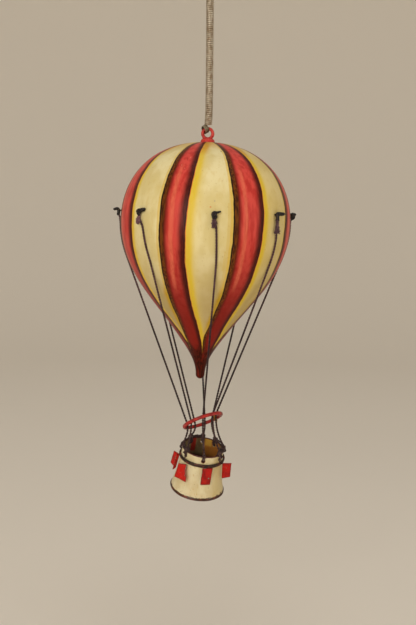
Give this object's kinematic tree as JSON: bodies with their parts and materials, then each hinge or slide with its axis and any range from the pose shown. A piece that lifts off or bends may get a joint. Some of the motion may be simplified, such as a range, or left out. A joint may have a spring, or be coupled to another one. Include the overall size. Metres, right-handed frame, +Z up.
{
  "type": "tin hot air balloon hanging ornament",
  "caption": "Small painted tin hot air balloon with striped envelope, thread rigging, load ring and open basket, hung on a metal spring.",
  "frame": {"origin": "where the spring's top loop bears on the hook that holds it", "axes": "+Z up, -Y towards the front, +X to the right as seen from the front"},
  "size_m": [0.1082, 0.1056, 0.3065],
  "materials": {
    "spring_wire": "dull grey-beige",
    "red_paint": "satin, worn",
    "envelope_paint": "satin, hand painted",
    "cream_paint": "satin, chipped edges",
    "brown_band": "satin",
    "black_wire": "satin",
    "thread": "matt",
    "plate_paint": "gloss, scratched",
    "brass": "dull, uneven"
  },
  "bodies": {
    "hanger": {"hanger_spring": "spring_wire"},
    "balloon": {"crown_eye": "red_paint", "envelope": "envelope_paint", "load_ring": "red_paint", "ring_braze": "brass", "basket_cup": "cream_paint", "basket_band": "brown_band", "hook_front": "black_wire", "hook_right": "black_wire", "hook_far_right": "black_wire", "hook_back_right": "black_wire", "hook_back": "black_wire", "hook_back_left": "black_wire", "hook_far_left": "black_wire", "hook_left": "black_wire", "knot_front": "thread", "knot_right": "thread", "knot_far_right": "thread", "knot_back_right": "thread", "knot_back": "thread", "knot_back_left": "thread", "knot_far_left": "thread", "knot_left": "thread", "thread_front": "thread", "thread_right": "thread", "thread_far_right": "thread", "thread_back_right": "thread", "thread_back": "thread", "thread_back_left": "thread", "thread_far_left": "thread", "thread_left": "thread", "lashing_front": "thread", "lashing_right": "thread", "lashing_far_right": "thread", "lashing_back_right": "thread", "lashing_back": "thread", "lashing_back_left": "thread", "lashing_far_left": "thread", "lashing_left": "thread", "plate_front": "plate_paint", "plate_right": "plate_paint", "plate_back_right": "plate_paint", "plate_back_left": "plate_paint", "plate_far_left": "plate_paint", "plate_left": "plate_paint"}
  },
  "joints": [
    {"name": "eye_swing", "type": "hinge", "parent": "hanger", "child": "balloon", "pos_m": [-0.00156, 0, -0.0826], "axis": [0.848, 0, 0.5299], "range_deg": [-35, 35]}
  ]
}
